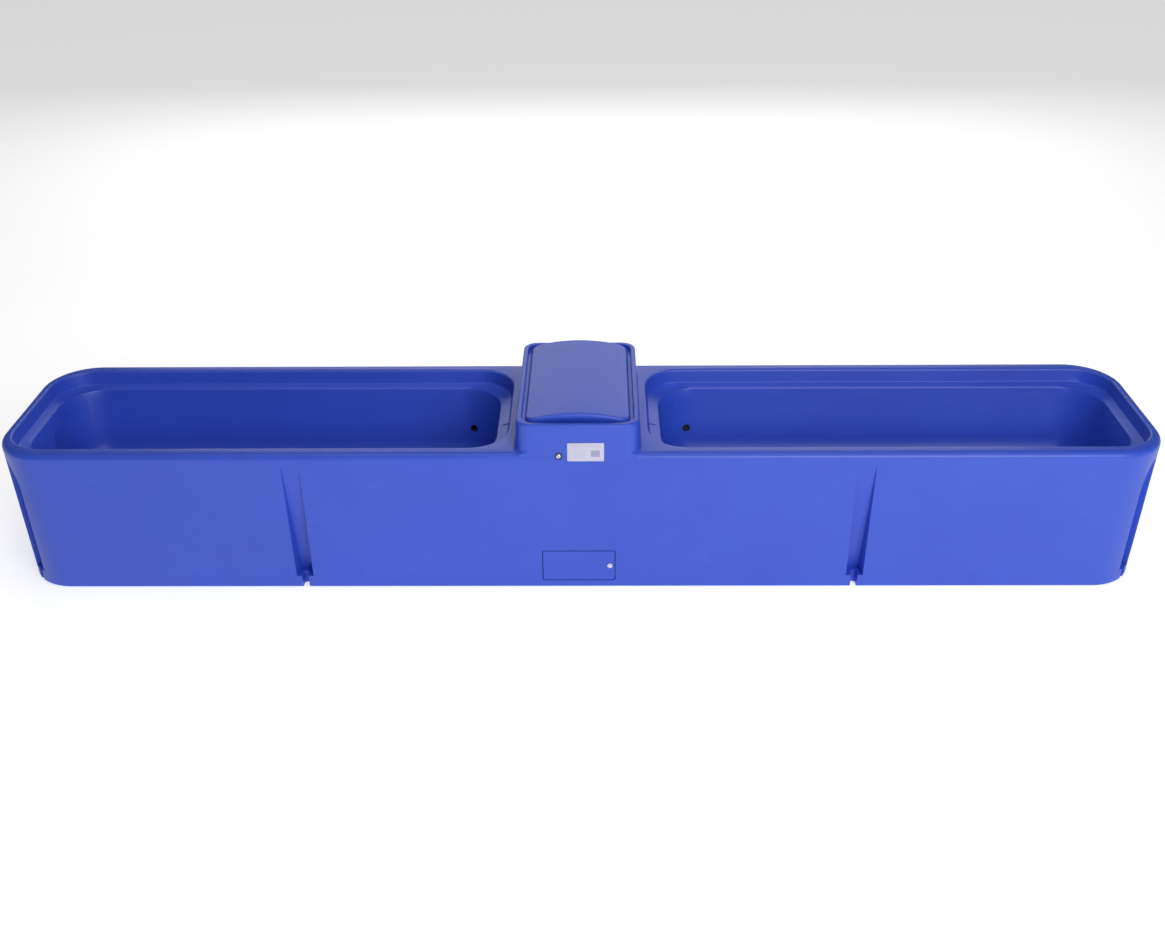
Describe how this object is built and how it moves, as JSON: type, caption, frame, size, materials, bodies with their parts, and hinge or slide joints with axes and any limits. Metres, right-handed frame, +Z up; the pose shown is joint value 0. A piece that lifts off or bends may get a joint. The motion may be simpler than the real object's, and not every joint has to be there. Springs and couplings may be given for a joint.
{
  "type": "livestock waterer",
  "caption": "Long insulated plastic stock drinker with an open trough on each side of a lidded float-valve housing.",
  "frame": {"origin": "on the ground under the middle of the casing", "axes": "+X along the troughs, +Y from the nameplate side to the back, +Z up"},
  "size_m": [3.658, 0.6535, 0.622],
  "materials": {
    "polyethylene": "satin",
    "foam": "matte",
    "liner": "matte",
    "plate": "satin",
    "steel": "satin",
    "rubber": "matte",
    "brass": "satin",
    "black_plastic": "satin",
    "hose": "satin",
    "grip": "satin"
  },
  "bodies": {
    "tub": {"casing": "polyethylene", "casing_base": "polyethylene", "foam_left": "foam", "foam_centre": "foam", "foam_right": "foam", "fill_plugs": "polyethylene", "nameplate": "plate", "nameplate_rivets": "plate", "bracket_bolt": "steel", "bolt_washer": "rubber", "bracket_nut": "steel", "valve_bracket": "steel", "valve_body": "brass", "valve_nut": "brass", "arm_pin": "steel", "riser_tube": "brass", "supply_bulkhead": "brass", "bulkhead_gasket": "rubber", "bulkhead_nut": "brass", "shutoff_body": "brass", "inlet_riser": "brass", "supply_hose": "hose", "hose_nuts": "brass", "heater_plug": "brass", "heater_element": "steel", "heater_gasket": "rubber", "heater_nut": "brass", "terminal_box": "black_plastic", "terminal_cover": "black_plastic", "cover_screws": "steel", "cable_gland": "black_plastic", "drain_bushing_left": "black_plastic", "drain_bushing_right": "black_plastic", "port_plug_left": "black_plastic", "port_plug_right": "black_plastic", "panel_insert": "brass"},
    "lid": {"lid_shell": "polyethylene", "lid_liner": "liner", "lid_foam": "foam", "lid_gasket": "rubber"},
    "panel": {"access_panel": "polyethylene", "panel_foam": "foam", "panel_gasket": "rubber"},
    "screw": {"panel_screw": "steel"},
    "float": {"float_arm": "brass", "float_ball": "black_plastic", "float_nuts": "steel"},
    "plunger": {"valve_plunger": "brass", "valve_seal": "rubber"},
    "shutoff": {"shutoff_ball": "brass", "shutoff_lever": "steel", "lever_grip": "grip", "lever_nut": "steel"},
    "plug_left": {"drain_plug_left": "rubber", "plug_ring_left": "steel"},
    "plug_right": {"drain_plug_right": "rubber", "plug_ring_right": "steel"}
  },
  "joints": [
    {"name": "lid_lift", "type": "slide", "parent": "tub", "child": "lid", "axis": [0, 0, 1], "range_m": [0, 0.2]},
    {"name": "panel_pull", "type": "slide", "parent": "tub", "child": "panel", "axis": [0, -0.9997, -0.026], "range_m": [0, 0.1]},
    {"name": "screw_back_out", "type": "slide", "parent": "panel", "child": "screw", "axis": [0, -0.9997, -0.026], "range_m": [0, 0.012]},
    {"name": "float_swing", "type": "hinge", "parent": "tub", "child": "float", "pos_m": [-0.059, -0.205, 0.478], "axis": [1, 0, 0], "range_deg": [0, 16]},
    {"name": "plunger_slide", "type": "slide", "parent": "tub", "child": "plunger", "axis": [0, 0, -1], "range_m": [0, 0.0049]},
    {"name": "shutoff_turn", "type": "hinge", "parent": "tub", "child": "shutoff", "pos_m": [0.025, -0.223, 0.095], "axis": [0, 1, 0], "range_deg": [0, 90]},
    {"name": "plug_left_pull", "type": "slide", "parent": "tub", "child": "plug_left", "axis": [0, 0, 1], "range_m": [0, 0.15]},
    {"name": "plug_right_pull", "type": "slide", "parent": "tub", "child": "plug_right", "axis": [0, 0, 1], "range_m": [0, 0.15]}
  ],
  "couplings": [
    {"joint": "plunger_slide", "follows": "float_swing", "m_per_rad": 0.01715}
  ]
}
